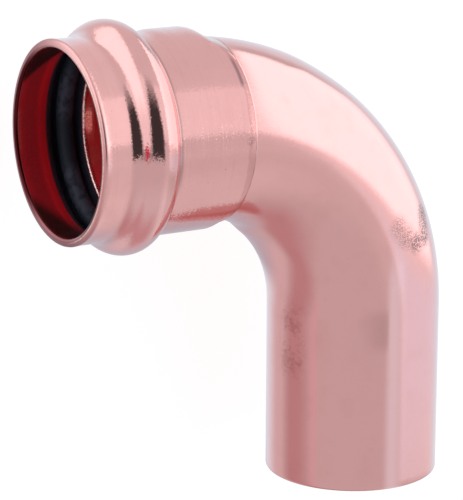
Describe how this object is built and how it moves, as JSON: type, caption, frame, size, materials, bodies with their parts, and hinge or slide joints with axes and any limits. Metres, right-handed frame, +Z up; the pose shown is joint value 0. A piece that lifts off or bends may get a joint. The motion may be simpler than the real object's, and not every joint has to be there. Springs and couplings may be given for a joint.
{
  "type": "press fit elbow",
  "caption": "Copper press-fit pipe elbow: a quarter bend from a beaded socket, which holds a rubber sealing ring, to a plain end of pipe size.",
  "frame": {"origin": "on the axis of the socket at the pipe stop, where the straight bore ends and the shoulder starts, 0.9 mm past the start of the bend", "axes": "the socket opens along -X, the plain end points along -Y, and +Z is up, square to the plane of the bend, with the fitting lying on its side"},
  "size_m": [0.0672, 0.0773, 0.0358],
  "materials": {
    "copper": "bright drawn copper, lightly polished",
    "ring_rubber": "smooth black rubber"
  },
  "bodies": {
    "root": {"elbow_body": "copper", "sealing_ring": "ring_rubber"}
  },
  "joints": []
}
